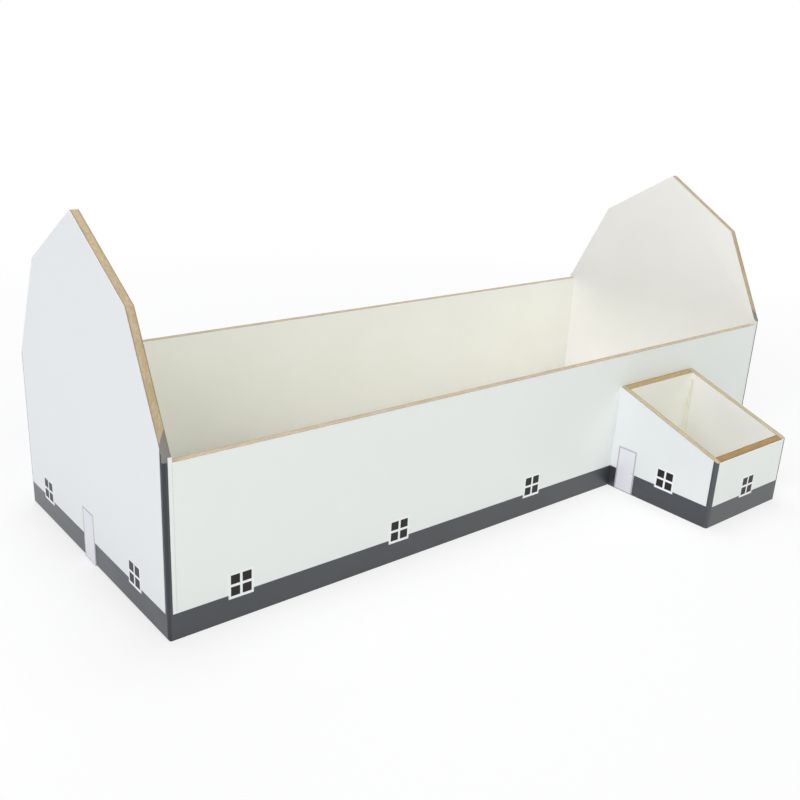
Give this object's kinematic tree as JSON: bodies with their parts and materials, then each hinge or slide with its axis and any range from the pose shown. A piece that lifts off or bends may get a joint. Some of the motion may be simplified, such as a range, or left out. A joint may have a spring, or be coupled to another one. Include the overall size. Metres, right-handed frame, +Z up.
{
  "type": "toy dairy barn",
  "caption": "Open-topped toy dairy barn: a long fibreboard box between two gambrel gables, with printed windows and doors and a lean-to annexe.",
  "frame": {"origin": "centre of the barn's underside", "axes": "+X along the barn towards the annexe's end, +Y to the back, away from the annexe, +Z up"},
  "size_m": [0.9512, 0.5112, 0.3749],
  "materials": {
    "painted_board": "fibreboard: cream paint inside, dark grey paint outside, raw tan edges on top",
    "white_facing": "white printed sheet with a satin face",
    "window_print": "near-black satin print",
    "door_print": "pale satin print",
    "outline_print": "light grey satin print",
    "steel": "bright zinc"
  },
  "bodies": {
    "root": {"left_gable": "painted_board", "right_gable": "painted_board", "front_wall": "painted_board", "back_wall": "painted_board", "barn_floor": "painted_board", "annexe_left_side": "painted_board", "annexe_right_side": "painted_board", "annexe_front": "painted_board", "annexe_back": "painted_board", "annexe_floor": "painted_board", "left_gable_facing": "white_facing", "right_gable_facing": "white_facing", "front_wall_facing": "white_facing", "back_wall_facing": "white_facing", "annexe_left_facing": "white_facing", "annexe_right_facing": "white_facing", "annexe_front_facing": "white_facing", "left_gable_window_panes": "window_print", "right_gable_window_panes": "window_print", "front_wall_window_panes": "window_print", "back_wall_window_panes": "window_print", "annexe_left_window_panes": "window_print", "annexe_right_window_panes": "window_print", "annexe_front_window_panes": "window_print", "left_gable_door_leaf": "door_print", "right_gable_door_leaf": "door_print", "annexe_door_leaf": "door_print", "left_gable_door_outline": "outline_print", "right_gable_door_outline": "outline_print", "annexe_door_outline": "outline_print", "left_gable_pins": "steel", "right_gable_pins": "steel", "floor_pins": "steel", "annexe_pins": "steel", "annexe_screws": "steel"}
  },
  "joints": []
}
